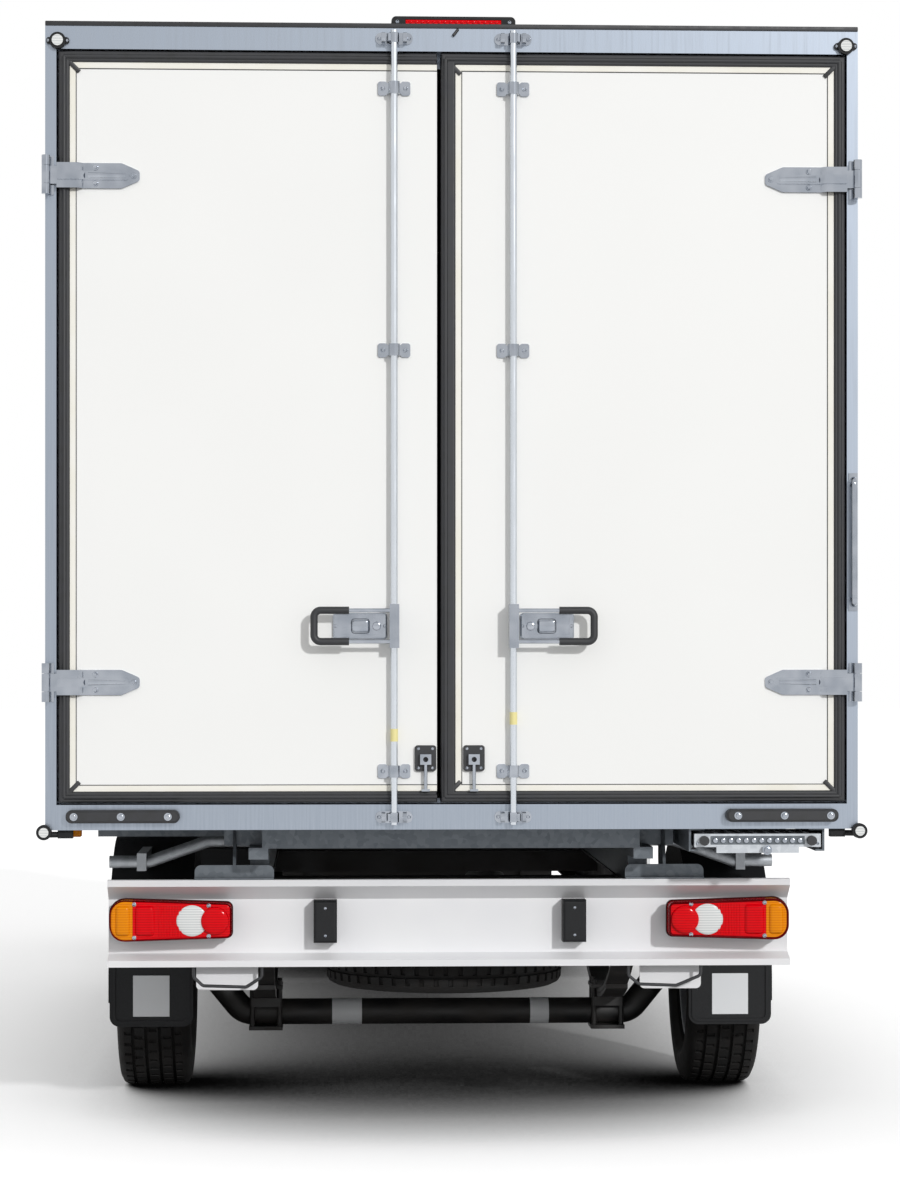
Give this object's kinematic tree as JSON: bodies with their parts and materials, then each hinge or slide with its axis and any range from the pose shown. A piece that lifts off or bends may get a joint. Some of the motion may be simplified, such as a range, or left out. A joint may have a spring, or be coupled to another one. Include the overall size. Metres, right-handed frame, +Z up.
{
  "type": "insulated box truck",
  "caption": "Light delivery truck with an insulated box body: hinged rear doors with lock rods, light bar, pull-out step, cab with doors and bonnet, and steered front wheels.",
  "frame": {"origin": "on the ground, under the middle of the vehicle's bounding box", "axes": "+X to the vehicle's right, +Y forward, +Z up"},
  "size_m": [2.47, 6.5381, 3.06],
  "materials": {
    "tyre": "matte",
    "wheel_steel": "satin",
    "chassis_black": "satin",
    "galvanised": "dull zinc",
    "stainless": "brushed",
    "panel_white": "gloss gelcoat",
    "aluminium": "satin",
    "cab_white": "gloss",
    "black_plastic": "matte",
    "black_rubber": "matte",
    "zinc_fittings": "bright zinc",
    "lamp_clear": "gloss",
    "lamp_red": "gloss",
    "window_glass": "clear",
    "seat_fabric": "woven",
    "engine_metal": "dull",
    "exhaust_steel": "dull"
  },
  "bodies": {
    "truck": {"chassis_frame": "chassis_black", "body_subframe": "galvanised", "box_floor": "panel_white", "box_side_walls": "panel_white", "box_front_wall": "panel_white", "box_roof": "panel_white", "box_edge_profiles": "aluminium", "rear_frame": "stainless", "rear_frame_fittings": "zinc_fittings", "sill_buffers": "black_rubber", "marker_lamps": "lamp_clear", "light_bar": "cab_white", "rear_lamp_bodies": "black_plastic", "tail_lamp_lenses": "lamp_red", "rear_mudguards": "black_plastic", "mudguard_tubes": "galvanised", "rear_axle": "chassis_black", "leaf_springs": "chassis_black", "front_suspension": "chassis_black", "engine": "engine_metal", "fuel_tank": "black_plastic", "exhaust": "exhaust_steel", "spare_wheel": "tyre", "cab_floor": "cab_white", "cab_rear_wall": "cab_white", "cab_roof": "cab_white", "cab_sides": "cab_white", "lamp_cables": "black_rubber", "front_bumper": "black_plastic", "grille": "black_plastic", "headlamps": "lamp_clear", "windscreen": "window_glass", "dashboard": "black_plastic", "steering_wheel": "black_plastic", "seats": "seat_fabric", "arch_liners": "black_plastic"},
    "step": {"step_tray": "galvanised"},
    "bonnet_lid": {"bonnet": "cab_white"},
    "left_rear_door": {"rear_door_left": "panel_white", "rear_door_left_seal": "black_rubber", "rear_door_left_fittings": "zinc_fittings"},
    "left_cab_door": {"cab_door_left": "cab_white", "cab_door_left_glass": "window_glass", "mirror_left": "black_plastic"},
    "left_knuckle": {"knuckle_left": "chassis_black"},
    "front_left_wheel": {"wheel_front_left": "wheel_steel", "tyre_front_left": "tyre"},
    "rear_left_wheel": {"wheel_rear_left": "wheel_steel", "tyre_rear_left": "tyre"},
    "right_rear_door": {"rear_door_right": "panel_white", "rear_door_right_seal": "black_rubber", "rear_door_right_fittings": "zinc_fittings"},
    "right_cab_door": {"cab_door_right": "cab_white", "cab_door_right_glass": "window_glass", "mirror_right": "black_plastic"},
    "right_knuckle": {"knuckle_right": "chassis_black"},
    "front_right_wheel": {"wheel_front_right": "wheel_steel", "tyre_front_right": "tyre"},
    "rear_right_wheel": {"wheel_rear_right": "wheel_steel", "tyre_rear_right": "tyre"}
  },
  "joints": [
    {"name": "left_rear_door_hinge", "type": "hinge", "parent": "truck", "child": "left_rear_door", "pos_m": [-1.096, -3.233, 1.94], "axis": [0, 0, -1], "range_deg": [0, 255]},
    {"name": "left_cab_door_hinge", "type": "hinge", "parent": "truck", "child": "left_cab_door", "pos_m": [-1.01, 2.1075, 1.05], "axis": [0, 0, -1], "range_deg": [0, 70]},
    {"name": "left_steer", "type": "hinge", "parent": "truck", "child": "left_knuckle", "pos_m": [-0.77, 2.421, 0.25], "axis": [0.1994, 0, 0.9799], "range_deg": [-35, 35]},
    {"name": "front_left_wheel_spin", "type": "hinge", "parent": "left_knuckle", "child": "front_left_wheel", "pos_m": [-0.865, 2.421, 0.345], "axis": [1, 0, 0], "continuous": true},
    {"name": "rear_left_wheel_spin", "type": "hinge", "parent": "truck", "child": "rear_left_wheel", "pos_m": [-0.865, -1.909, 0.345], "axis": [1, 0, 0], "continuous": true},
    {"name": "right_rear_door_hinge", "type": "hinge", "parent": "truck", "child": "right_rear_door", "pos_m": [1.096, -3.233, 1.94], "axis": [0, 0, 1], "range_deg": [0, 255]},
    {"name": "right_cab_door_hinge", "type": "hinge", "parent": "truck", "child": "right_cab_door", "pos_m": [1.01, 2.1075, 1.05], "axis": [0, 0, 1], "range_deg": [0, 70]},
    {"name": "right_steer", "type": "hinge", "parent": "truck", "child": "right_knuckle", "pos_m": [0.77, 2.421, 0.25], "axis": [-0.1994, 0, 0.9799], "range_deg": [-35, 35]},
    {"name": "front_right_wheel_spin", "type": "hinge", "parent": "right_knuckle", "child": "front_right_wheel", "pos_m": [0.865, 2.421, 0.345], "axis": [1, 0, 0], "continuous": true},
    {"name": "rear_right_wheel_spin", "type": "hinge", "parent": "truck", "child": "rear_right_wheel", "pos_m": [0.865, -1.909, 0.345], "axis": [1, 0, 0], "continuous": true},
    {"name": "bonnet_hinge", "type": "hinge", "parent": "truck", "child": "bonnet_lid", "pos_m": [0, 2.54042, 1.31161], "axis": [1, 0, 0], "range_deg": [0, 50]},
    {"name": "step_slide", "type": "slide", "parent": "truck", "child": "step", "axis": [0, -1, 0], "range_m": [0, 0.28]}
  ],
  "couplings": [
    {"joint": "right_steer", "follows": "left_steer", "ratio": 1}
  ]
}
